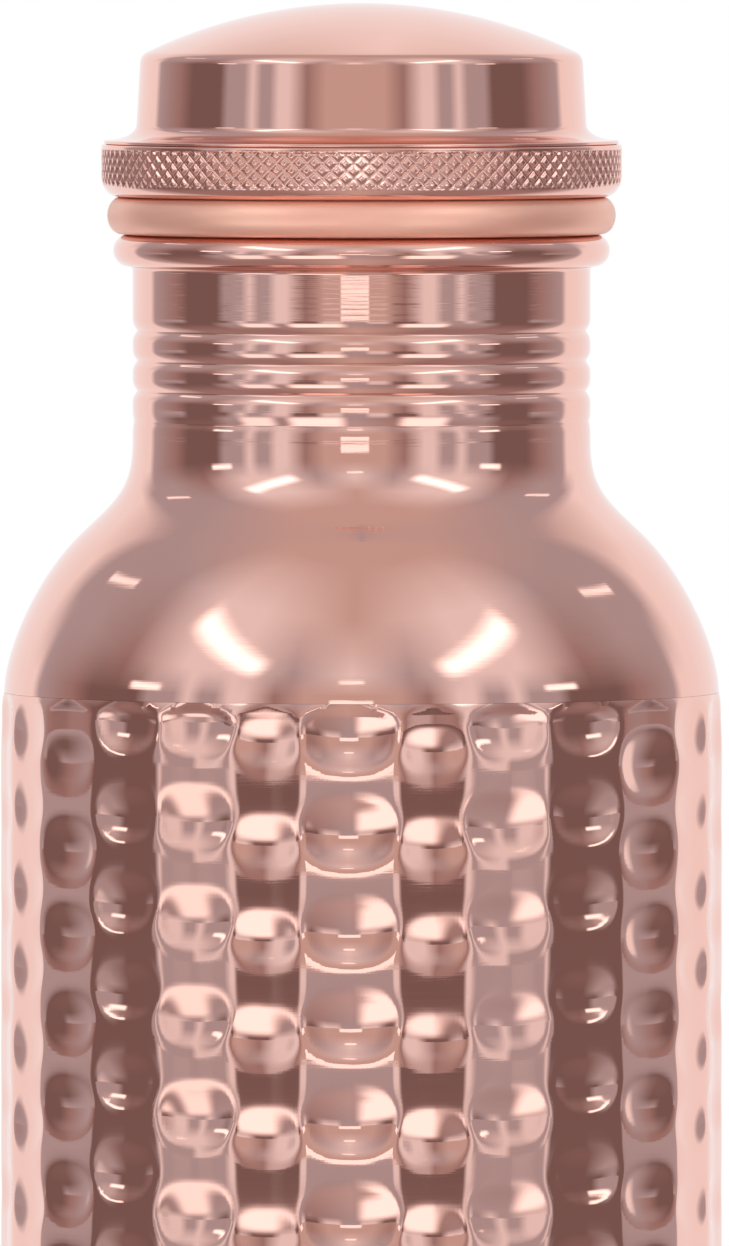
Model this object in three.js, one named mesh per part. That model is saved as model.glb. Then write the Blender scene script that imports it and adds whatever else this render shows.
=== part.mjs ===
// A copper water bottle with a screw cap, as nine closed solids that stand clear of each other.
// Millimetres, +Z up. The origin is the centre of the foot, on the surface that the bottle stands on.
//
// The cap's sleeve and the neck carry the same right-hand thread. Unscrewing the cap by an angle lifts it by
// that share of THREAD_PITCH, and the two threads keep their clearance all the way.

import * as THREE from "three";

// Heights, from the top of the cap down. They add up to the height of the bottle.
const HEIGHT = 266;
const CAP_CROWN = 5.6; // dome, down to the side wall
const CAP_WALL = 6.65; // side wall, down to the flare
const CAP_FLARE = 1.6; // cove that spreads from the side wall to the grip ring
const FLARE_LIP = 0.4; // thickness of the flare at its rim
const GRIP_HEIGHT = 5.3; // knurled ring
const SEAL_HEIGHT = 3.8; // space between the ring and the mouth
const LIP_HEIGHT = 3.25; // bead round the mouth
const NECK_HEIGHT = 17.5; // straight part of the neck
const SHOULDER_HEIGHT = 25.4; // neck fillet and shoulder, down to the barrel

// Radii.
const BARREL_RADIUS = 36.5;
const BARREL_TOP_RADIUS = 36.15;
const NECK_RADIUS = 23.15;
const BORE_RADIUS = 22.2; // inside of the neck
const LIP_RADIUS = 25.1;
const SEAL_RADIUS = 25.7;
const GRIP_RADIUS = 26.3;
const FLARE_RADIUS = 26.05;
const CAP_RADIUS = 22.4; // side wall, at the dome
const CAP_FOOT_RADIUS = 22.75; // side wall, at the flare
const DOME_RADIUS = 50; // of the sphere that the dome is cut from
const DOME_EDGE_RADIUS = 1.3;

// How far the rounded sides stand out from their straight part.
const LIP_ROLL = 1.5;
const SEAL_ROLL = 1.4;
const GRIP_ROLL = 1.6;
const GRIP_ROLL_HEIGHT = 2.15; // of the grip ring's rounded lower edge
const GRIP_CHAMFER = 0.25;

// Where the fillet at the foot of the neck meets the shoulder, and the way both run there.
const HIP_RADIUS = 28.2;
const HIP_BELOW_FILLET = 9.4;
const FILLET_PULL = [-3.55, 3.37];
const SHOULDER_PULL = [4.74, -4.49];
const NECK_FILLET_PULL = 4.9;
const BARREL_TOP_PULL = 4;

// Sheet metal, and the clearance between neighbouring pieces.
const SHEET = 0.7;
const GAP = 0.3;

// Screw thread, between the neck and the cap's sleeve.
const THREAD_PITCH = 3.05;
const THREAD_TURNS = 3;
const THREAD_DEPTH = 1;
const THREAD_CLEARANCE = 0.5;
const THREAD_ROWS_PER_TURN = 6;
const SLEEVE_RADIUS = BORE_RADIUS - THREAD_DEPTH - THREAD_CLEARANCE;
const SLEEVE_REACH = 17; // below the top of the mouth

// Grooves rolled into the outside of the neck, one pitch apart.
const GROOVE_COUNT = 3;
const GROOVE_BELOW_NECK_TOP = 6.5;
const GROOVE_DEPTH = 0.45;
const GROOVE_HALF_WIDTH = 0.7;
const GROOVE_HALF_FLOOR = 0.15;

// Foot: the barrel's lower edge, rounded and turned up inside.
const FOOT_CORNER_RADIUS = 3;
const FOOT_RADIUS = BARREL_RADIUS - FOOT_CORNER_RADIUS; // outer edge of the flat ring
const HEM_RADIUS = 31.2; // inside of the turned-up hem
const HEM_HEIGHT = 3.2;
const BARREL_SWELL_HEIGHT = 6; // over which the top of the barrel draws in
const BASE_RISE = 2.4; // of the base disc's centre above its edge
const BASE_EDGE_HEIGHT = 1.2;
const BASE_STEPS = 4; // from the base disc's centre to its edge
const PLUG_FLOOR_RISE = 1;
const PLUG_FLOOR_SETBACK = 0.4; // of the sleeve's floor from its lower end
const PLUG_FLOOR_FLAT = 0.8; // of its radius, inside the sloping rim

// Facets round a full turn.
const BODY_SEGMENTS = 56;
const CAP_SEGMENTS = 48;
const NECK_SEGMENTS = 40;

// Levels, worked out from the heights.
const wallTop = HEIGHT - CAP_CROWN;
const flareTop = wallTop - CAP_WALL;
const flareBottom = flareTop - CAP_FLARE;
const lipBottom = flareBottom - FLARE_LIP;
const gripBottom = lipBottom - GRIP_HEIGHT;
const mouthTop = gripBottom - SEAL_HEIGHT;
const neckTop = mouthTop - LIP_HEIGHT;
const filletTop = neckTop - NECK_HEIGHT;
const barrelTop = filletTop - SHOULDER_HEIGHT;
const sleeveBottom = mouthTop - SLEEVE_REACH;
const threadLength = THREAD_TURNS * THREAD_PITCH;

const COPPER = { color: 0xd99a7e, roughness: 0.18, metalness: 1 };
const KNURLED_COPPER = { color: 0xcf8f74, roughness: 0.35, metalness: 1 };
const SILICONE = { color: 0xf2bfa6, roughness: 0.45, metalness: 0 };

// Points along an arc of an ellipse, as [radius, height], ends included. Angles in degrees, 0 pointing out.
function arc(centre, radii, from, to, steps) {
  return Array.from({ length: steps + 1 }, (_, i) => {
    const angle = THREE.MathUtils.degToRad(from + ((to - from) * i) / steps);
    return [centre[0] + radii[0] * Math.cos(angle), centre[1] + radii[1] * Math.sin(angle)];
  });
}

// Points along a cubic curve given by its four control points.
function cubic(controls, steps) {
  const [a, b, c, d] = controls.map(([radius, height]) => new THREE.Vector2(radius, height));
  return new THREE.CubicBezierCurve(a, b, c, d).getPoints(steps).map((p) => [p.x, p.y]);
}

// The same line moved sideways, to the left of its direction, by the given distance.
function offsetLine(line, distance) {
  return line.map(([radius, height], i) => {
    const before = line[Math.max(i - 1, 0)];
    const after = line[Math.min(i + 1, line.length - 1)];
    const along = new THREE.Vector2(after[0] - before[0], after[1] - before[1]).normalize();
    return [radius - along.y * distance, height + along.x * distance];
  });
}

// A solid turned about the Z axis. The outline runs anticlockwise with radius to the right and height up;
// it starts and ends on the axis, or closes on itself.
function turned(outline, segments) {
  const points = outline.map(([radius, height]) => new THREE.Vector2(radius, height));
  return new THREE.LatheGeometry(points, segments).rotateX(Math.PI / 2);
}

function ring(outline, segments) {
  return turned([...outline, outline[0]], segments);
}

// Heights of the rows that carry a thread between two levels, from the lower one up.
function threadRows(low) {
  const rows = THREAD_TURNS * THREAD_ROWS_PER_TURN;
  return Array.from({ length: rows + 1 }, (_, i) => low + (threadLength * i) / rows);
}

// Share of the full thread depth at a height, faded in over half a turn at each end.
function threadFade(height, low) {
  const fade = THREAD_PITCH / 2;
  const rise = THREE.MathUtils.smoothstep(height, low, low + fade);
  return rise * (1 - THREE.MathUtils.smoothstep(height, low + threadLength - fade, low + threadLength));
}

// Presses a right-hand thread into the wall of one radius: 1 where the wave is highest, 0 where it is lowest.
function pressThread(geometry, wallRadius, low, shift, phase) {
  const position = geometry.getAttribute("position");
  for (let i = 0; i < position.count; i += 1) {
    const [x, y, height] = [position.getX(i), position.getY(i), position.getZ(i)];
    const radius = Math.hypot(x, y);
    if (Math.abs(radius - wallRadius) > 0.01 || height < low || height > low + threadLength) continue;
    const turn = (2 * Math.PI * height) / THREAD_PITCH - Math.atan2(y, x) + phase;
    const scale = (radius + shift * threadFade(height, low) * (0.5 + 0.5 * Math.cos(turn))) / radius;
    position.setX(i, x * scale);
    position.setY(i, y * scale);
  }
  geometry.computeVertexNormals();
  return geometry;
}

// The hammered tube, with a rounded foot that turns in and up round the base disc. Its top draws in a little.
function barrel() {
  const top = barrelTop - GAP;
  const swellBottom = top - BARREL_SWELL_HEIGHT;
  const draw = BARREL_RADIUS - BARREL_TOP_RADIUS;
  const swell = arc([BARREL_TOP_RADIUS, swellBottom], [draw, BARREL_SWELL_HEIGHT], 0, 90, 4);
  const corner = [FOOT_RADIUS, FOOT_CORNER_RADIUS];
  const outside = [
    ...arc(corner, [FOOT_CORNER_RADIUS, FOOT_CORNER_RADIUS], -90, 0, 4),
    ...swell,
  ];
  const inside = swell.map(([radius, height]) => [radius - SHEET, height]).reverse();
  const innerRadius = FOOT_CORNER_RADIUS - SHEET;
  const innerCorner = arc(corner, [innerRadius, innerRadius], 0, -90, 3);
  const hem = [
    [HEM_RADIUS + SHEET, SHEET],
    [HEM_RADIUS + SHEET, HEM_HEIGHT],
    [HEM_RADIUS, HEM_HEIGHT],
    [HEM_RADIUS, 0],
  ];
  return ring([...outside, ...inside, ...innerCorner, ...hem], BODY_SEGMENTS);
}

// Domed upwards, so that the bottle stands on its foot ring alone.
function baseDisc() {
  const edge = HEM_RADIUS - GAP;
  const centre = BASE_EDGE_HEIGHT + BASE_RISE;
  const under = Array.from({ length: BASE_STEPS + 1 }, (_, i) => {
    const share = i / BASE_STEPS;
    const sag = (1 - Math.cos(Math.PI * share)) / 2;
    return [edge * share, centre - BASE_RISE * sag];
  });
  const over = under.map(([radius, height]) => [radius, height + SHEET]).reverse();
  return turned([...under, ...over], NECK_SEGMENTS);
}

// Groove rolled into the neck, as points from the lower edge up.
function groove(height) {
  const floor = NECK_RADIUS - GROOVE_DEPTH;
  return [
    [NECK_RADIUS, height - GROOVE_HALF_WIDTH],
    [floor, height - GROOVE_HALF_FLOOR],
    [floor, height + GROOVE_HALF_FLOOR],
    [NECK_RADIUS, height + GROOVE_HALF_WIDTH],
  ];
}

// Shoulder, fillet and neck in one spun sheet. The thread stands in from the bore.
function shoulderNeck() {
  const hip = [HIP_RADIUS, filletTop - HIP_BELOW_FILLET];
  const towards = (pull) => [hip[0] + pull[0], hip[1] + pull[1]];
  const shoulder = cubic(
    [
      [BARREL_TOP_RADIUS, barrelTop],
      [BARREL_TOP_RADIUS, barrelTop + BARREL_TOP_PULL],
      towards(SHOULDER_PULL),
      hip,
    ],
    8,
  );
  const fillet = cubic(
    [hip, towards(FILLET_PULL), [NECK_RADIUS, filletTop - NECK_FILLET_PULL], [NECK_RADIUS, filletTop]],
    7,
  );
  const spun = [...shoulder, ...fillet.slice(1)];
  const lowest = neckTop - GROOVE_BELOW_NECK_TOP - (GROOVE_COUNT - 1) * THREAD_PITCH;
  const grooves = Array.from({ length: GROOVE_COUNT }, (_, i) => groove(lowest + i * THREAD_PITCH)).flat();
  const neck = [...grooves, [NECK_RADIUS, neckTop - GAP]];

  const threadLow = sleeveBottom;
  const bore = [neckTop - GAP, ...threadRows(threadLow).reverse()].map((height) => [BORE_RADIUS, height]);
  const lining = offsetLine(spun, SHEET).slice(1).filter(([radius]) => radius > BORE_RADIUS + GAP);
  const outline = [
    ...spun,
    ...neck,
    ...bore,
    [BORE_RADIUS, filletTop - SHEET],
    ...lining.reverse(),
    [BARREL_TOP_RADIUS - SHEET, barrelTop],
  ];
  return pressThread(ring(outline, NECK_SEGMENTS), BORE_RADIUS, threadLow, -THREAD_DEPTH, 0);
}

// Half-round bead outside, flat lip on top for the seal.
function mouthRing() {
  const halfHeight = LIP_HEIGHT / 2;
  const bulge = arc([LIP_RADIUS - LIP_ROLL, neckTop + halfHeight], [LIP_ROLL, halfHeight], -90, 90, 6);
  return ring([[BORE_RADIUS, neckTop], ...bulge, [BORE_RADIUS, mouthTop]], NECK_SEGMENTS);
}

// Soft ring round the sleeve, between the mouth and the grip ring.
function gasket() {
  const low = mouthTop + GAP;
  const halfHeight = (SEAL_HEIGHT - 2 * GAP) / 2;
  const bulge = arc([SEAL_RADIUS - SEAL_ROLL, low + halfHeight], [SEAL_ROLL, halfHeight], -90, 90, 6);
  const hole = SLEEVE_RADIUS + GAP;
  return ring([[hole, low], ...bulge, [hole, low + 2 * halfHeight]], NECK_SEGMENTS);
}

// Pressed shell: spherical crown, rounded edge, side wall, and a cove that flares out to a thin lip.
function capDome() {
  const sphereHeight = HEIGHT - DOME_RADIUS;
  const edgeRadius = CAP_RADIUS - DOME_EDGE_RADIUS;
  const edgeHeight = sphereHeight + Math.sqrt((DOME_RADIUS - DOME_EDGE_RADIUS) ** 2 - edgeRadius ** 2);
  const meet = THREE.MathUtils.radToDeg(Math.atan2(edgeHeight - sphereHeight, edgeRadius));
  const inner = CAP_RADIUS - SHEET;
  const under = [
    ...arc([0, sphereHeight], [DOME_RADIUS - SHEET, DOME_RADIUS - SHEET], 90, meet, 5),
    [inner, edgeHeight],
    [CAP_FOOT_RADIUS - SHEET, flareTop],
    [CAP_FOOT_RADIUS - SHEET, lipBottom],
  ];
  const over = [
    [FLARE_RADIUS, lipBottom],
    ...arc([FLARE_RADIUS, flareTop], [FLARE_RADIUS - CAP_FOOT_RADIUS, CAP_FLARE], 270, 180, 4),
    ...arc([edgeRadius, edgeHeight], [DOME_EDGE_RADIUS, DOME_EDGE_RADIUS], 0, meet, 3),
    ...arc([0, sphereHeight], [DOME_RADIUS, DOME_RADIUS], meet, 90, 6).slice(1),
  ];
  return turned([...under, ...over], CAP_SEGMENTS);
}

// Grip ring under the flared lip, with a crisp top edge and a rounded lower edge.
function knurledRing() {
  const top = lipBottom - GAP;
  const hole = SLEEVE_RADIUS + GAP;
  const roll = [GRIP_ROLL, GRIP_ROLL_HEIGHT];
  return ring(
    [
      [hole, gripBottom],
      ...arc([GRIP_RADIUS - GRIP_ROLL, gripBottom + GRIP_ROLL_HEIGHT], roll, -90, 0, 4),
      [GRIP_RADIUS, top - GRIP_CHAMFER],
      [GRIP_RADIUS - GRIP_CHAMFER, top],
      [hole, top],
    ],
    CAP_SEGMENTS,
  );
}

// Threaded sleeve that hangs from the cap into the neck, open at both ends.
function capPlug() {
  const inner = SLEEVE_RADIUS - SHEET;
  const top = flareBottom;
  const threadLow = sleeveBottom + THREAD_PITCH / 4;
  const outside = [sleeveBottom, ...threadRows(threadLow), top].map((height) => [SLEEVE_RADIUS, height]);
  const sleeve = ring([[inner, sleeveBottom], ...outside, [inner, top]], NECK_SEGMENTS);
  return pressThread(sleeve, SLEEVE_RADIUS, threadLow, THREAD_DEPTH, Math.PI);
}

// Disc that closes the sleeve, dished up away from the water.
function plugFloor() {
  const edge = SLEEVE_RADIUS - SHEET - GAP;
  const low = sleeveBottom + PLUG_FLOOR_SETBACK;
  const under = [
    [0, low + PLUG_FLOOR_RISE],
    [edge * PLUG_FLOOR_FLAT, low + PLUG_FLOOR_RISE],
    [edge, low],
  ];
  const over = under.map(([radius, height]) => [radius, height + SHEET]).reverse();
  return turned([...under, ...over], NECK_SEGMENTS);
}

function piece(name, geometry, finish) {
  const mesh = new THREE.Mesh(geometry, new THREE.MeshStandardMaterial(finish));
  mesh.name = name;
  return mesh;
}

const bottle = new THREE.Group();
bottle.add(
  piece("barrel", barrel(), COPPER),
  piece("base_disc", baseDisc(), COPPER),
  piece("shoulder_neck", shoulderNeck(), COPPER),
  piece("mouth_ring", mouthRing(), COPPER),
);

const cap = new THREE.Group();
cap.add(
  piece("cap_dome", capDome(), COPPER),
  piece("knurled_ring", knurledRing(), KNURLED_COPPER),
  piece("cap_plug", capPlug(), COPPER),
  piece("plug_floor", plugFloor(), COPPER),
);

const copperBottle = new THREE.Group();
copperBottle.add(bottle, piece("gasket", gasket(), SILICONE), cap);

export default copperBottle;
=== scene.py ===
"""The looks of a hammered copper water bottle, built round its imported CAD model.

Outlines are worked out in millimetres from the boxes of the CAD nodes, and every piece is one closed,
turned solid. Hammer marks, knurling, grooves and threads are real relief in the meshes. The materials add
turning lines, fine scratches and tarnish.
"""

import math

import bpy
import numpy as np
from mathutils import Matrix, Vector


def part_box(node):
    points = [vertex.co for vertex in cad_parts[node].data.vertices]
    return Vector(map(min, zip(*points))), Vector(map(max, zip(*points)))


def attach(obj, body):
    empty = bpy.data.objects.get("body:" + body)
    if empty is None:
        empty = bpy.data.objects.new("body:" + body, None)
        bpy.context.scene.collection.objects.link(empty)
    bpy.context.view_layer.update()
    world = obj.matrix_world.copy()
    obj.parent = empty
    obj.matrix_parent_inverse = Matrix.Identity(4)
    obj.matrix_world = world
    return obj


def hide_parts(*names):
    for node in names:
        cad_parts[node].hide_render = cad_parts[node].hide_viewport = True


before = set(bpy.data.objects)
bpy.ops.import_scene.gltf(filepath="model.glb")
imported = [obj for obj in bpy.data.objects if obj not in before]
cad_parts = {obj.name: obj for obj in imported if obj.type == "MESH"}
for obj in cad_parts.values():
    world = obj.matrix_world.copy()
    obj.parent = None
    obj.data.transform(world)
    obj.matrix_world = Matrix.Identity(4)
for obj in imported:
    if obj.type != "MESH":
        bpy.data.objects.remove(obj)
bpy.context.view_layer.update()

MM = 0.001  # metres in a millimetre
TINY = 1e-6
ON_WALL = 0.01  # a point this near a radius belongs to that wall
rng = np.random.default_rng(7)

# The front of the bottle, where the camera stands, faces -Y.
FRONT = -math.pi / 2


# ---------------------------------------------------------------- the frame, in millimetres


def span(node):
    """Lowest level, highest level and radius of a CAD node."""
    low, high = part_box(node)
    return low.z / MM, high.z / MM, high.x / MM


_, barrel_top, barrel_radius = span("barrel")
shoulder_low, _, shoulder_radius = span("shoulder_neck")
bead_low, mouth_level, bead_radius = span("mouth_ring")
_, _, seal_radius = span("gasket")
grip_low, grip_high, grip_radius = span("knurled_ring")
lip_low, crown_level, lip_radius = span("cap_dome")
sleeve_low, sleeve_high, sleeve_crest = span("cap_plug")
floor_low, floor_high, floor_radius = span("plug_floor")
base_low, base_high, base_radius = span("base_disc")

# Sheet and thread, the same as the CAD model's.
SHEET = 0.7
THREAD_PITCH = 3.05
THREAD_TURNS = 3
THREAD_DEPTH = 1.0
THREAD_CLEARANCE = 0.5
sleeve_radius = sleeve_crest - THREAD_DEPTH
bore_radius = sleeve_radius + THREAD_DEPTH + THREAD_CLEARANCE
HAIRLINE = 0.02  # between pieces that meet without a visible gap
HOLE_CLEARANCE = 0.3  # round the sleeve, in the seal and the grip ring
neck_top = bead_low - HAIRLINE
seam_level = (barrel_top + shoulder_low) / 2


# ---------------------------------------------------------------- outlines, as (radius, height) rows


def arc(centre, radii, start, end, count):
    """Points on an arc of an ellipse, from one angle to the other in degrees; 0 points outwards."""
    angle = np.radians(np.linspace(start, end, count))
    return np.column_stack((centre[0] + radii[0] * np.cos(angle), centre[1] + radii[1] * np.sin(angle)))


def cubic(controls, count):
    """Points on a cubic curve with four control points."""
    a, b, c, d = np.array(controls, float)
    t = np.linspace(0, 1, count)[:, None]
    return (1 - t) ** 3 * a + 3 * (1 - t) ** 2 * t * b + 3 * (1 - t) * t**2 * c + t**3 * d


def run(start, end, step):
    """Points on a straight line, at most one step apart."""
    start, end = np.array(start, float), np.array(end, float)
    count = max(2, math.ceil(np.linalg.norm(end - start) / step) + 1)
    return start + (end - start) * np.linspace(0, 1, count)[:, None]


def join(*lines):
    """One outline from several, without repeated points."""
    points = np.vstack(lines)
    keep = np.ones(len(points), bool)
    keep[1:] = np.linalg.norm(np.diff(points, axis=0), axis=1) > TINY
    return points[keep]


def offset(line, distance):
    """The same line moved to the left of its direction."""
    along = np.gradient(line, axis=0)
    along /= np.linalg.norm(along, axis=1)[:, None]
    return line + distance * np.column_stack((-along[:, 1], along[:, 0]))


def smoothstep(value, low, high):
    t = np.clip((value - low) / (high - low), 0, 1)
    return t * t * (3 - 2 * t)


# ---------------------------------------------------------------- meshes


def turned(name, outline, segments, relief=None, crease=40):
    """A closed solid turned about Z. The outline runs anticlockwise, radius to the right and height up; it
    closes on itself, or starts and ends on the axis. relief(angle, radius, height) gives the new radius."""
    outline = np.asarray(outline, float)
    solid_core = outline[0, 0] < TINY
    rows = outline[1:-1] if solid_core else outline
    angle = np.arange(segments) * (2 * math.pi / segments)
    angle, radius = np.meshgrid(angle, rows[:, 0])
    height = np.repeat(rows[:, 1:], segments, axis=1)
    if relief:
        radius = relief(angle, radius, height)
    vertices = np.stack((radius * np.cos(angle), radius * np.sin(angle), height), axis=-1).reshape(-1, 3)

    index = np.arange(len(rows) * segments).reshape(len(rows), segments)
    lower, upper = (index[:-1], index[1:]) if solid_core else (index, np.roll(index, -1, axis=0))
    turn = lambda grid: np.roll(grid, -1, axis=1)
    faces = [np.stack((lower, turn(lower), turn(upper), upper), axis=-1).reshape(-1, 4)]
    if solid_core:
        bottom, top = len(vertices), len(vertices) + 1
        vertices = np.vstack((vertices, [[0, 0, outline[0, 1]], [0, 0, outline[-1, 1]]]))
        first, last = index[0], index[-1]
        faces.append(np.column_stack((np.full(segments, bottom), np.roll(first, -1), first)))
        faces.append(np.column_stack((last, np.roll(last, -1), np.full(segments, top))))

    mesh = bpy.data.meshes.new(name)
    mesh.vertices.add(len(vertices))
    mesh.vertices.foreach_set("co", (vertices * MM).astype(np.float32).ravel())
    corners = np.concatenate([block.ravel() for block in faces])
    sizes = np.concatenate([np.full(len(block), block.shape[1]) for block in faces])
    mesh.loops.add(len(corners))
    mesh.loops.foreach_set("vertex_index", corners.astype(np.int32))
    mesh.polygons.add(len(sizes))
    mesh.polygons.foreach_set("loop_start", np.concatenate(([0], np.cumsum(sizes)[:-1])).astype(np.int32))
    mesh.update(calc_edges=True)
    mesh.validate()
    mesh.shade_smooth()
    mesh.set_sharp_from_angle(angle=math.radians(crease))
    piece = bpy.data.objects.new(name, mesh)
    bpy.context.scene.collection.objects.link(piece)
    return piece


def install(piece, body, node, material):
    """The piece rides on a body, stands for a CAD node and takes a material."""
    piece.data.materials.append(material)
    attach(piece, body)
    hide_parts(node)
    return piece


# ---------------------------------------------------------------- relief


# Hammer marks: columns of round dimples, each column a shallow flute between two soft ridges.
COLUMNS = 27
COLUMN_SHIFT = math.radians(-1.9)  # of the middle column from the bottle's front
FLUTE_DEPTH = 0.016  # for a half width of 1, and by its square for others
RIDGE_SOFTNESS = 0.9
DIMPLE_DEPTH = 0.82
DIMPLE_RADII = (4.6, 3.9)  # round the bottle, and up it
DIMPLE_SLANT = 0.25  # share by which a dimple is deeper at its foot, and shallower at its top
DIMPLE_BLEND = 0.12
HAMMER_TOP_FADE = 0.9
ARCH = 1.6  # drop of the hammered edge at a ridge, below its height in the middle of a column
HAMMER_BOTTOM = 9.0
HAMMER_BOTTOM_FADE = 4.0
# For the columns to the left of the front one, the front one, and those to its right: drop of the first
# dimple below the hammered edge, distance from dimple to dimple, size of the dimples, and width of the
# column. The marks were struck with one round hammer, so that small ones are shallow too.
FRONT_COLUMNS = {
    -5: (3.2, 7.95, 0.9, 1.0),
    -4: (6.2, 8.65, 0.96, 1.07),
    -3: (2.0, 9.0, 0.93, 1.0),
    -2: (1.95, 9.85, 0.98, 1.0),
    -1: (3.8, 9.8, 0.78, 0.86),
    0: (2.95, 9.7, 1.1, 1.15),
    1: (4.5, 9.7, 0.78, 0.86),
    2: (2.3, 9.75, 0.98, 1.05),
    3: (2.2, 9.0, 0.97, 1.1),
    4: (6.1, 8.65, 0.98, 1.1),
    5: (3.3, 7.95, 0.9, 1.0),
}
BACK_COLUMNS = [(4.0, 9.4, 0.92, 1.0), (2.4, 9.5, 0.84, 1.0)]
JITTER = {"place": 0.14, "depth": 0.07, "size": 0.03}

ROWS = 24
jitter_across, jitter_along, jitter_depth, jitter_size = (
    rng.normal(0, spread, (COLUMNS, ROWS))
    for spread in (JITTER["place"], JITTER["place"], JITTER["depth"], JITTER["size"])
)


def column_rows(column):
    """The entry of a column, counted from the front one to the right."""
    signed = column - COLUMNS if column > COLUMNS / 2 else column
    return FRONT_COLUMNS.get(signed, BACK_COLUMNS[column % 2])


drops, pitches, sizes, widths = np.array([column_rows(column) for column in range(COLUMNS)]).T
widths *= 2 * math.pi / widths.sum()
right_edges = np.cumsum(widths) - widths[0] / 2
centres = right_edges - widths / 2


def soft_max(a, b, softness):
    return 0.5 * (a + b + np.sqrt((a - b) ** 2 + softness**2))


def hammering(angle, height):
    """Depth of the hammer marks in the barrel's wall."""
    turn = (angle - FRONT - COLUMN_SHIFT + widths[0] / 2) % (2 * math.pi) - widths[0] / 2
    home = np.searchsorted(right_edges, turn) % COLUMNS
    half = widths[home] / 2 * barrel_radius
    across = (turn - centres[home]) * barrel_radius
    from_ridge = np.sqrt((half - np.abs(across)) ** 2 + RIDGE_SOFTNESS**2) - RIDGE_SOFTNESS
    depth = FLUTE_DEPTH * half**2 * (1 - np.clip(1 - from_ridge / half, 0, 1) ** 2)
    for neighbour in (-1, 0, 1):
        column = (home + neighbour) % COLUMNS
        below = (seam_level - height - drops[column]) / pitches[column]
        row = np.clip(np.rint(below), 0, ROWS - 1).astype(int)
        size = sizes[column] * (1 + jitter_size[column, row])
        away = (turn - centres[column] + math.pi) % (2 * math.pi) - math.pi
        side = (away * barrel_radius + jitter_across[column, row]) / (DIMPLE_RADII[0] * size)
        up = ((row - below) * pitches[column] + jitter_along[column, row]) / (DIMPLE_RADII[1] * size)
        deepest = DIMPLE_DEPTH * size**2 * (1 + jitter_depth[column, row])
        bowl = deepest * (1 - side**2 - up**2) * (1 - DIMPLE_SLANT * np.clip(up, -1, 1))
        depth = soft_max(depth, bowl, DIMPLE_BLEND)
    arch = ARCH * (1 - np.sqrt(np.clip(1 - (across / half) ** 2, 0, 1)))
    top = smoothstep(seam_level - height - arch, 0.05, HAMMER_TOP_FADE)
    bottom = smoothstep(height, HAMMER_BOTTOM - HAMMER_BOTTOM_FADE, HAMMER_BOTTOM)
    return depth * top * bottom


# Knurling: two crossing families of V grooves, which leave a net of small pyramids.
KNURLS = 104
KNURL_HEIGHT = 1.5  # of one diamond
KNURL_DEPTH = 0.24
KNURL_FLAT = 1.7  # the higher, the broader the flat tops of the pyramids
KNURL_LOW, KNURL_HIGH = 1.25, 0.2  # plain margins of the grip ring, at its foot and its top
KNURL_FADE = 0.25


def knurling(angle, height):
    """Depth of the knurling in the grip ring's side."""
    lean = (height - grip_low) / KNURL_HEIGHT
    turn = angle / (2 * math.pi) * KNURLS
    ridge = lambda value: np.abs(2 * (value - np.floor(value)) - 1)
    pyramid = 1 - np.maximum(ridge(turn + lean), ridge(turn - lean))
    low = grip_low + KNURL_LOW
    high = grip_high - KNURL_HIGH
    share = smoothstep(height, low - KNURL_FADE, low + KNURL_FADE)
    share *= 1 - smoothstep(height, high - 0.1, high + 0.05)
    return KNURL_DEPTH * (1 - np.minimum(1, KNURL_FLAT * pyramid)) * share


def thread(wall_radius, low, shift, phase):
    """A relief that presses a right-hand thread into the wall of one radius."""
    length = THREAD_TURNS * THREAD_PITCH
    fade = THREAD_PITCH / 2

    def relief(angle, radius, height):
        turn = 2 * math.pi * height / THREAD_PITCH - angle + phase
        share = smoothstep(height, low, low + fade)
        share *= 1 - smoothstep(height, low + length - fade, low + length)
        wave = shift * share * (0.5 + 0.5 * np.cos(turn))
        return np.where(np.abs(radius - wall_radius) < ON_WALL, radius + wave, radius)

    return relief


# ---------------------------------------------------------------- material nodes


def add(tree, kind, inputs=None, **settings):
    """A node with its settings, and its inputs set to values or linked to sockets."""
    node = tree.nodes.new(kind)
    for name, value in settings.items():
        setattr(node, name, value)
    for name, value in (inputs or {}).items():
        if isinstance(value, bpy.types.NodeSocket):
            tree.links.new(value, node.inputs[name])
        else:
            node.inputs[name].default_value = value
    return node


def math_node(tree, operation, *values, **settings):
    return add(tree, "ShaderNodeMath", dict(enumerate(values)), operation=operation, **settings).outputs[0]


def new_material(name):
    material = bpy.data.materials.new(name)
    material.use_nodes = True
    tree = material.node_tree
    shader = tree.nodes["Principled BSDF"]
    place = add(tree, "ShaderNodeTexCoord").outputs["Object"]
    return material, tree, shader, place


def noise(tree, place, scale, detail=2.0, roughness=0.5):
    """Noise at a scale per metre, or at one scale along each axis."""
    stretch = scale if isinstance(scale, tuple) else (scale,) * 3
    mapped = add(tree, "ShaderNodeMapping", {"Vector": place, "Scale": stretch}).outputs[0]
    return add(
        tree,
        "ShaderNodeTexNoise",
        {"Vector": mapped, "Scale": 1.0, "Detail": detail, "Roughness": roughness},
    ).outputs[0]


def spread(tree, value, low, high, to_low, to_high):
    return add(
        tree,
        "ShaderNodeMapRange",
        {"Value": value, "From Min": low, "From Max": high, "To Min": to_low, "To Max": to_high},
    ).outputs[0]


def mix_colour(tree, factor, first, second):
    return add(
        tree, "ShaderNodeMix", {"Factor": factor, "A": first, "B": second}, data_type="RGBA"
    ).outputs["Result"]


def bump(tree, height, distance, normal=None):
    inputs = {"Height": height, "Strength": 1.0, "Distance": distance}
    if normal:
        inputs["Normal"] = normal
    return add(tree, "ShaderNodeBump", inputs).outputs[0]


COPPER = (0.93, 0.56, 0.475, 1)
TARNISHED = (0.88, 0.49, 0.39, 1)
PEACH = (0.96, 0.56, 0.43, 1)
PEACH_SHADE = (0.88, 0.48, 0.37, 1)


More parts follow.
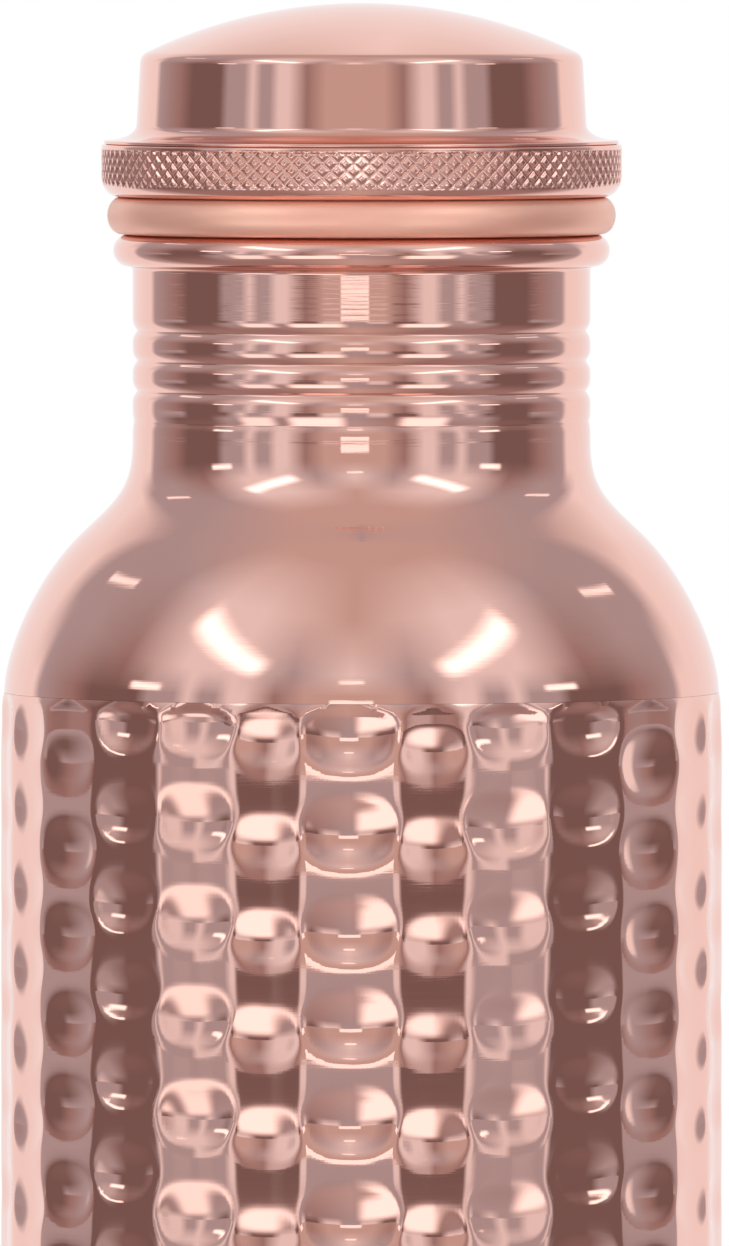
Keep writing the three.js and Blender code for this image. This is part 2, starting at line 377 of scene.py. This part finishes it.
def copper(name, lines, grain, roughness, tarnish=0.25):
    """Polished copper: level turning lines and fine grain, both as depths in metres, and faint tarnish."""
    material, tree, shader, place = new_material(name)
    broad = noise(tree, place, 55, 3)
    shade = spread(tree, broad, 0.35, 0.7, 0.0, tarnish)
    tree.links.new(mix_colour(tree, shade, COPPER, TARNISHED), shader.inputs["Base Color"])
    turning = noise(tree, place, (24, 24, 900), 4, 0.65)
    fine = noise(tree, place, (160, 160, 4200), 2, 0.6)
    both = math_node(tree, "MULTIPLY_ADD", fine, 0.25, turning)
    speckle = noise(tree, place, 1800, 3, 0.7)
    normal = bump(tree, speckle, grain, bump(tree, both, lines))
    tree.links.new(normal, shader.inputs["Normal"])
    smear = noise(tree, place, (90, 90, 700), 3)
    rough = spread(tree, smear, 0.3, 0.75, roughness[0], roughness[1])
    tree.links.new(rough, shader.inputs["Roughness"])
    shader.inputs["Metallic"].default_value = 1.0
    return material


def silicone(name):
    """Satin silicone with a pearly, copper-toned pigment, and faint slanting flow marks."""
    material, tree, shader, place = new_material(name)
    clouds = spread(tree, noise(tree, place, (60, 60, 260), 3), 0.3, 0.7, 0, 1)
    tree.links.new(mix_colour(tree, clouds, PEACH, PEACH_SHADE), shader.inputs["Base Color"])
    flow = noise(tree, place, (110, 110, 420), 4, 0.6)
    tree.links.new(bump(tree, flow, 3e-5), shader.inputs["Normal"])
    tree.links.new(spread(tree, flow, 0.3, 0.7, 0.34, 0.46), shader.inputs["Roughness"])
    shader.inputs["Metallic"].default_value = 0.78
    shader.inputs["Subsurface Weight"].default_value = 0.4
    shader.inputs["Subsurface Radius"].default_value = (0.0022, 0.0012, 0.0009)
    shader.inputs["Subsurface Scale"].default_value = 1.0
    shader.inputs["IOR"].default_value = 1.42
    return material


hammered_copper = copper("hammered_copper_look", 2.5e-6, 7e-7, (0.02, 0.06))
turned_copper = copper("turned_copper_look", 6e-6, 6e-7, (0.02, 0.06))
knurled_copper = copper("knurled_copper_look", 3e-6, 1.0e-6, (0.03, 0.09), 0.5)
plain_copper = copper("plain_copper_look", 1.4e-5, 3e-6, (0.16, 0.3), 0.8)
soft_silicone = silicone("silicone_look")


# ---------------------------------------------------------------- the bottle


FOOT_CORNER = 3.0
HEM_RADIUS = 31.2
HEM_HEIGHT = 3.2
SWELL = 6.0  # height over which the barrel's top draws in


def barrel():
    top = seam_level - HAIRLINE / 2
    corner_centre = (barrel_radius - FOOT_CORNER, FOOT_CORNER)
    wall = run((0, FOOT_CORNER), (0, top), 0.48)
    rise = np.clip((wall[:, 1] - (top - SWELL)) / SWELL, 0, 1)
    wall[:, 0] = shoulder_radius + (barrel_radius - shoulder_radius) * np.sqrt(1 - rise**2)
    lining = wall[::-1][::3] - (SHEET, 0)
    inner_corner = FOOT_CORNER - SHEET
    outline = join(
        arc(corner_centre, (FOOT_CORNER, FOOT_CORNER), -90, 0, 14),
        wall,
        lining,
        [(barrel_radius - SHEET, FOOT_CORNER)],
        arc(corner_centre, (inner_corner, inner_corner), 0, -90, 10),
        run((HEM_RADIUS + SHEET, SHEET), (HEM_RADIUS + SHEET, HEM_HEIGHT - 0.2), 0.8),
        arc((HEM_RADIUS + SHEET / 2, HEM_HEIGHT - 0.2), (SHEET / 2, 0.2), 0, 180, 7),
        run((HEM_RADIUS, HEM_HEIGHT - 0.2), (HEM_RADIUS, 0.25), 0.8),
        arc((HEM_RADIUS + 0.25, 0.25), (0.25, 0.25), 180, 270, 4),
    )
    relief = lambda angle, radius, height: radius - hammering(angle, height)
    return turned("hammered_barrel", outline, COLUMNS * 20, relief)


PRESSED_RING = {"height": 0.25, "place": 0.62, "width": 1.1}  # place as a share of the disc's radius


def base():
    """The disc in the foot, domed up, with a ring pressed into it."""
    rise = base_high - base_low - SHEET
    radius = np.linspace(0, base_radius, 90)
    share = radius / base_radius
    under = base_low + rise * (1 + np.cos(math.pi * share)) / 2
    from_ring = (radius - PRESSED_RING["place"] * base_radius) / PRESSED_RING["width"]
    under += PRESSED_RING["height"] * np.exp(-(from_ring**2))
    below = np.column_stack((radius, under))
    above = np.column_stack((radius, under + SHEET))[::-1]
    return turned("base_plate", join(below, above), 180)


# Shoulder and neck.
NECK_RADIUS = 23.15
NECK_FLARE = 0.4  # of the fillet between the neck and the bead
FILLET_BELOW_NECK = 17.48  # height of the straight neck
HIP = (28.2, 212.5)
FILLET_PULL = (-3.55, 3.37)
SHOULDER_PULL = (4.74, -4.49)
NECK_FILLET_PULL = 4.9
SHOULDER_FOOT_PULL = 4.0
# Rolled grooves, from the lowest up: the first one only just shows.
GROOVE_DEPTHS = (0.14, 0.45, 0.45, 0.45)
GROOVE_TOP_DROP = 6.48  # of the highest groove below the neck's top
GROOVE_EDGE = 0.08
GROOVE_NARROWNESS = 1.7


def grooved(line):
    """The neck's line with its grooves, and rounded ribs between them."""
    height = line[:, 1]
    for i, depth in enumerate(reversed(GROOVE_DEPTHS)):
        away = (height - (neck_top - GROOVE_TOP_DROP - i * THREAD_PITCH)) / THREAD_PITCH
        wave = np.sin(np.pi * np.clip(np.abs(away), 0, 0.5))
        rounded = np.sqrt(wave**2 + GROOVE_EDGE**2) - GROOVE_EDGE
        rib = 1 - rounded / (math.hypot(1, GROOVE_EDGE) - GROOVE_EDGE)
        line[:, 0] -= depth * rib**GROOVE_NARROWNESS
    return line


def shoulder():
    foot = seam_level + HAIRLINE / 2
    fillet_top = neck_top - FILLET_BELOW_NECK
    hip = np.array(HIP)
    spun = join(
        cubic(
            [
                (shoulder_radius, foot),
                (shoulder_radius, foot + SHOULDER_FOOT_PULL),
                hip + SHOULDER_PULL,
                hip,
            ],
            60,
        ),
        cubic(
            [hip, hip + FILLET_PULL, (NECK_RADIUS, fillet_top - NECK_FILLET_PULL), (NECK_RADIUS, fillet_top)],
            50,
        ),
    )
    neck = run((NECK_RADIUS, fillet_top), (NECK_RADIUS, neck_top), 0.07)
    flare = np.clip(1 - (neck_top - neck[:, 1]) / NECK_FLARE, 0, 1)
    neck[:, 0] += NECK_FLARE * (1 - np.sqrt(1 - flare**2))
    lining = offset(spun, SHEET)[::-1][::2]
    lining = lining[lining[:, 0] > bore_radius + 0.05]
    lining = lining[lining[:, 1] > foot + 0.05]
    outline = join(
        spun,
        grooved(neck),
        run((bore_radius, neck_top), (bore_radius, fillet_top - 0.5), 0.25),
        lining,
        [(shoulder_radius - SHEET, foot)],
    )
    return turned("shoulder_and_neck", outline, 256, thread(bore_radius, sleeve_low, -THREAD_DEPTH, 0))


BEAD_ROLL = 1.5


def bead():
    """The rolled bead round the mouth, with a flat top for the seal."""
    half = (mouth_level - bead_low) / 2
    ease = 0.25
    outline = join(
        [(bore_radius, bead_low)],
        arc((bead_radius - BEAD_ROLL, bead_low + half), (BEAD_ROLL, half), -90, 90, 40),
        run((bead_radius - BEAD_ROLL, mouth_level), (bore_radius + ease, mouth_level), 0.5),
        arc((bore_radius + ease, mouth_level - ease), (ease, ease), 90, 180, 6),
        run((bore_radius, mouth_level - ease), (bore_radius, bead_low), 0.6),
    )
    return turned("mouth_bead", outline, 256)


SEAL_ROLL = 1.4


def seal():
    """Squeezed between the mouth and the grip ring, so that it touches both."""
    low, high = mouth_level + HAIRLINE, grip_low - HAIRLINE
    half = (high - low) / 2
    hole = sleeve_radius + HOLE_CLEARANCE
    ease = 0.3
    outline = join(
        arc((seal_radius - SEAL_ROLL, low + half), (SEAL_ROLL, half), -90, 90, 36),
        run((seal_radius - SEAL_ROLL, high), (hole + ease, high), 0.5),
        arc((hole + ease, high - ease), (ease, ease), 90, 180, 6),
        arc((hole + ease, low + ease), (ease, ease), 180, 270, 6),
        run((hole + ease, low), (seal_radius - SEAL_ROLL, low), 0.5),
    )
    return turned("seal_ring", outline, 256)


# Cap shell.
CAP_RADIUS = 22.4
CAP_FOOT_RADIUS = 22.75
DOME_RADIUS = 50.0
DOME_EDGE = 1.3
FLARE = 1.6
LIP = 0.4


def cap_shell():
    sphere = crown_level - DOME_RADIUS
    edge_radius = CAP_RADIUS - DOME_EDGE
    edge_level = sphere + math.sqrt((DOME_RADIUS - DOME_EDGE) ** 2 - edge_radius**2)
    meet = math.degrees(math.atan2(edge_level - sphere, edge_radius))
    flare_top = lip_low + LIP + FLARE
    inner = CAP_RADIUS - SHEET
    half_lip = LIP / 2
    rim = lip_radius - half_lip
    outline = join(
        arc((0, sphere), (DOME_RADIUS - SHEET,) * 2, 90, meet, 24),
        run((inner, edge_level), (CAP_FOOT_RADIUS - SHEET, flare_top), 0.7),
        run((CAP_FOOT_RADIUS - SHEET, flare_top), (CAP_FOOT_RADIUS - SHEET, lip_low), 0.6),
        run((CAP_FOOT_RADIUS - SHEET, lip_low), (rim, lip_low), 0.6),
        arc((rim, lip_low + half_lip), (half_lip, half_lip), -90, 90, 10),
        arc((rim, flare_top), (rim - CAP_FOOT_RADIUS, FLARE), 270, 180, 26),
        run((CAP_FOOT_RADIUS, flare_top), (CAP_RADIUS, edge_level), 0.12),
        arc((edge_radius, edge_level), (DOME_EDGE, DOME_EDGE), 0, meet, 16),
        arc((0, sphere), (DOME_RADIUS, DOME_RADIUS), meet, 90, 60),
    )
    outline[0, 0] = outline[-1, 0] = 0
    return turned("cap_shell", outline, 256)


GRIP_ROLL = (1.6, 2.15)


def grip():
    top = lip_low - HAIRLINE
    hole = sleeve_radius + HOLE_CLEARANCE
    chamfer = 0.2
    outline = join(
        arc((grip_radius - GRIP_ROLL[0], grip_low + GRIP_ROLL[1]), GRIP_ROLL, -90, 0, 34),
        run((grip_radius, grip_low + GRIP_ROLL[1]), (grip_radius, top - chamfer), 0.075),
        arc((grip_radius - chamfer, top - chamfer), (chamfer, chamfer), 0, 90, 5),
        run((grip_radius - chamfer, top), (hole, top), 0.8),
        run((hole, top), (hole, grip_low), 0.8),
    )

    def relief(angle, radius, height):
        outer = smoothstep(radius, hole + 1, grip_radius - GRIP_ROLL[0])
        return radius - knurling(angle, height) * outer

    return turned("grip_ring", outline, KNURLS * 14, relief)


def sleeve():
    inner = sleeve_radius - SHEET
    ease = 0.2
    outline = join(
        arc((sleeve_radius - ease, sleeve_low + ease), (ease, ease), -90, 0, 5),
        run((sleeve_radius, sleeve_low + ease), (sleeve_radius, sleeve_high), 0.22),
        run((inner, sleeve_high), (inner, sleeve_low + ease), 0.6),
        arc((inner + ease, sleeve_low + ease), (ease, ease), 180, 270, 5),
    )
    low = sleeve_low + THREAD_PITCH / 4
    return turned("threaded_sleeve", outline, 216, thread(sleeve_radius, low, THREAD_DEPTH, math.pi))


FLOOR_STEP = (0.78, 0.97)  # from and to, as shares of the floor's radius


def sleeve_floor():
    """The disc in the sleeve, with a flat edge and a rounded step."""
    rise = floor_high - floor_low - SHEET
    radius = np.linspace(0, floor_radius, 80)
    step = 1 - smoothstep(radius, FLOOR_STEP[0] * floor_radius, FLOOR_STEP[1] * floor_radius)
    under = floor_low + rise * step
    below = np.column_stack((radius, under))
    above = np.column_stack((radius, under + SHEET))[::-1]
    return turned("sleeve_floor", join(below, above), 160)


install(barrel(), "bottle", "barrel", hammered_copper)
install(base(), "bottle", "base_disc", plain_copper)
install(shoulder(), "bottle", "shoulder_neck", turned_copper)
install(bead(), "bottle", "mouth_ring", turned_copper)
install(seal(), "seal", "gasket", soft_silicone)
install(cap_shell(), "cap", "cap_dome", turned_copper)
install(grip(), "cap", "knurled_ring", knurled_copper)
install(sleeve(), "cap", "cap_plug", plain_copper)
install(sleeve_floor(), "cap", "plug_floor", plain_copper)


# ---------------------------------------------------------------- studio


FLOOR_LIGHT = (0.80, 0.77, 0.76, 1)
FLOOR_DARK = (0.76, 0.73, 0.72, 1)


def floor():
    mesh = bpy.data.meshes.new("floor")
    segments, radius = 128, 2.2
    ring = [
        (radius * math.cos(2 * math.pi * i / segments), radius * math.sin(2 * math.pi * i / segments), 0)
        for i in range(segments)
    ]
    mesh.from_pydata(ring, [], [range(segments)])
    plane = bpy.data.objects.new("floor", mesh)
    bpy.context.scene.collection.objects.link(plane)
    material, tree, shader, place = new_material("floor_look")
    soft = spread(tree, noise(tree, place, 6, 3), 0.3, 0.7, 0, 1)
    tree.links.new(mix_colour(tree, soft, FLOOR_LIGHT, FLOOR_DARK), shader.inputs["Base Color"])
    shader.inputs["Roughness"].default_value = 0.7
    mesh.materials.append(material)
    plane.visible_glossy = False
    return plane


floor()

# The studio's tones, in linear red, green and blue.
WHITE = (0.95, 0.95, 0.97)  # the backdrop behind the bottle
PALE = (0.85, 0.88, 0.92)  # reflector boards
ROOM = (0.6, 0.52, 0.5)  # the room behind the camera
GREY = (0.45, 0.45, 0.5)  # side walls
DUSK = (0.35, 0.27, 0.27)  # their shaded parts
DARK = (0.2, 0.15, 0.15)  # flags

# Its walls, by the angle away from the camera's side, in degrees, alike to the left and the right.
TABLE = [(0, ROOM), (50, DUSK), (110, DUSK), (135, WHITE), (180, WHITE)]
TABLE_EDGE = [
    (0, GREY),
    (25, DUSK),
    (45, GREY),
    (70, GREY),
    (80, DARK),
    (105, DARK),
    (125, GREY),
    (130, WHITE),
    (180, WHITE),
]
LOW_WALL = [
    (0, GREY),
    (5, GREY),
    (8, PALE),
    (15, PALE),
    (20, DARK),
    (30, DARK),
    (35, PALE),
    (40, PALE),
    (50, GREY),
    (55, GREY),
    (60, PALE),
    (65, GREY),
    (70, DARK),
    (95, DARK),
    (100, GREY),
    (125, GREY),
    (130, WHITE),
    (180, WHITE),
]
WALL = [
    (0, ROOM),
    (15, ROOM),
    (25, DUSK),
    (35, PALE),
    (40, PALE),
    (45, GREY),
    (50, GREY),
    (55, PALE),
    (60, GREY),
    (70, GREY),
    (75, DARK),
    (95, DARK),
    (105, DUSK),
    (125, GREY),
    (130, WHITE),
    (180, WHITE),
]
UPPER_WALL = [
    (0, PALE),
    (20, GREY),
    (40, PALE),
    (60, PALE),
    (85, DUSK),
    (110, GREY),
    (130, GREY),
    (140, WHITE),
    (180, WHITE),
]
CEILING = [(0, ROOM), (40, PALE), (60, PALE), (90, GREY), (130, GREY), (150, ROOM), (180, WHITE)]
SKYLIGHT = [(0, ROOM), (90, ROOM), (180, GREY)]
# Elevation of each wall, in degrees; one blends into the next.
LIGHT_RINGS = [
    (-45, TABLE),
    (-10, TABLE_EDGE),
    (-3, LOW_WALL),
    (-2, LOW_WALL),
    (-1.5, WALL),
    (8, WALL),
    (25, UPPER_WALL),
    (50, CEILING),
    (75, SKYLIGHT),
]
# Lamps: angle from the camera's side, positive to the right, elevation, half length and half width, all in
# degrees, lean of the long side, soft edge, and radiance. The last three, below the horizon, are not alike.
LAMPS = [
    (48, 35, 18, 4, 28, 4, 2.2),
    (-48, 35, 18, 4, -28, 4, 2.2),
    (72, 12, 6, 2, 0, 1.5, 1.8),
    (-72, 12, 6, 2, 0, 1.5, 1.8),
    (115, 36, 8, 1, -22, 1, 1.4),
    (-115, 36, 8, 1, 22, 1, 1.4),
    (0, 20, 4, 1, 0, 1, 1.6),
    (0, 0.5, 7, 2, 0, 0.5, 1.4),
    (-20, -18, 14, 10, 0, 4, 1.5),
    (-52, -18, 9, 10, 0, 4, 1.3),
    (36, -18, 12, 10, 0, 4, 1.5),
]
LAMP_TINT = (0.98, 1.0, 1.02, 1)
LIGHT_TOP = 1.5  # radiance of the ramps' white
LIGHT_TURN = 3.3  # the studio's middle is this far to the left of the camera, in degrees
CAMERA_WHITE = (1, 1, 1, 1)


def ramp(tree, share, stops):
    node = add(tree, "ShaderNodeValToRGB", {"Fac": share})
    elements = node.color_ramp.elements
    for degrees, colour in stops[1:-1]:
        elements.new(degrees / 180)
    for element, (degrees, colour) in zip(elements, stops):
        element.position = degrees / 180
        element.color = (*(channel / LIGHT_TOP for channel in colour), 1)
    return node.outputs["Color"]


def lamp_share(tree, bearing, elevation, lamp):
    """1 inside a lamp's rectangle on the sky, 0 outside, with a soft edge."""
    centre, level, half_length, half_width, lean, edge, _ = lamp
    lean = math.radians(lean)
    side = math_node(tree, "SUBTRACT", bearing, centre)
    up = math_node(tree, "SUBTRACT", elevation, level)
    share = None
    for along, across, half in (
        (math.cos(lean), math.sin(lean), half_length),
        (-math.sin(lean), math.cos(lean), half_width),
    ):
        place = math_node(tree, "MULTIPLY_ADD", up, across, math_node(tree, "MULTIPLY", side, along))
        inside = add(
            tree,
            "ShaderNodeMapRange",
            {
                "Value": math_node(tree, "ABSOLUTE", place),
                "From Min": half + edge,
                "From Max": half - edge,
            },
            interpolation_type="SMOOTHSTEP",
        ).outputs[0]
        share = inside if share is None else math_node(tree, "MULTIPLY", share, inside)
    return share


def studio_light():
    world = bpy.data.worlds.new("studio")
    bpy.context.scene.world = world
    world.use_nodes = True
    tree = world.node_tree
    tree.nodes.clear()
    direction = add(
        tree,
        "ShaderNodeMapping",
        {
            "Vector": add(tree, "ShaderNodeTexCoord").outputs["Generated"],
            "Rotation": (0, 0, math.radians(LIGHT_TURN)),
        },
    ).outputs[0]
    x, y, z = add(tree, "ShaderNodeSeparateXYZ", {"Vector": direction}).outputs
    azimuth = math_node(tree, "ARCTAN2", x, math_node(tree, "MULTIPLY", y, -1.0))
    angle = math_node(tree, "MULTIPLY", math_node(tree, "ABSOLUTE", azimuth), 180 / math.pi)
    share = math_node(tree, "DIVIDE", angle, 180)
    elevation = math_node(tree, "MULTIPLY", math_node(tree, "ARCSINE", z), 180 / math.pi)

    bearing = math_node(tree, "MULTIPLY", azimuth, 180 / math.pi)

    light = ramp(tree, share, LIGHT_RINGS[0][1])
    for (lower, _), (upper, stops) in zip(LIGHT_RINGS, LIGHT_RINGS[1:]):
        rise = add(
            tree,
            "ShaderNodeMapRange",
            {"Value": elevation, "From Min": lower, "From Max": upper},
        ).outputs[0]
        light = mix_colour(tree, rise, light, ramp(tree, share, stops))
    for lamp in LAMPS:
        radiance = lamp[-1] / LIGHT_TOP
        bright = tuple(channel * radiance for channel in LAMP_TINT[:3]) + (1,)
        light = mix_colour(tree, lamp_share(tree, bearing, elevation, lamp), light, bright)
    lit = add(tree, "ShaderNodeBackground", {"Color": light, "Strength": LIGHT_TOP}).outputs[0]
    seen = add(tree, "ShaderNodeBackground", {"Color": CAMERA_WHITE, "Strength": 1.0}).outputs[0]
    direct = add(tree, "ShaderNodeLightPath").outputs["Is Camera Ray"]
    shown = add(tree, "ShaderNodeMixShader", {0: direct, 1: lit, 2: seen}).outputs[0]
    add(tree, "ShaderNodeOutputWorld", {"Surface": shown})


def fill_light(name, place, size, power):
    """A broad lamp for the matt surfaces, which doesn't show in the copper."""
    data = bpy.data.lights.new(name, "AREA")
    data.shape = "DISK"
    data.size = size
    data.energy = power
    lamp = bpy.data.objects.new(name, data)
    lamp.location = place
    lamp.rotation_euler = (Vector((0, 0, 0.15)) - lamp.location).to_track_quat("-Z", "Y").to_euler()
    lamp.visible_glossy = False
    bpy.context.scene.collection.objects.link(lamp)


studio_light()
fill_light("fill_left", (-0.9, -1.1, 1.2), 0.8, 3)
fill_light("fill_right", (0.9, -1.1, 1.2), 0.8, 3)
fill_light("fill_front", (0, -1.3, 0.5), 0.3, 16)
fill_light("fill_back", (0, 1.3, 1.1), 0.8, 5)

# Camera: a long lens, looking slightly down at the cap. The picture takes in the cap, neck and hammered top.
VIEW_WIDTH = 73.7  # at the bottle's axis
IMAGE = (729, 1246)
LENS = 800.0
SENSOR = 36.0
VIEW_CENTRE = 203.3
TILT_LEVEL, TILT = 250.0, 0.9  # level at which the camera looks down by that many degrees
ASIDE = 0.3  # of the camera, to the right


def camera():
    data = bpy.data.cameras.new("camera")
    data.sensor_width = SENSOR
    data.lens = LENS
    view_height = VIEW_WIDTH * IMAGE[1] / IMAGE[0]
    distance = view_height * LENS / SENSOR
    level = TILT_LEVEL + distance * math.tan(math.radians(TILT))
    eye = bpy.data.objects.new("camera", data)
    eye.location = Vector((ASIDE, -distance, level)) * MM
    aim = Vector((ASIDE, 0, VIEW_CENTRE)) * MM
    eye.rotation_euler = (aim - eye.location).to_track_quat("-Z", "Y").to_euler()
    data.clip_start, data.clip_end = 0.1, 20
    bpy.context.scene.collection.objects.link(eye)
    bpy.context.scene.camera = eye


camera()
bpy.context.scene.view_settings.view_transform = "Standard"
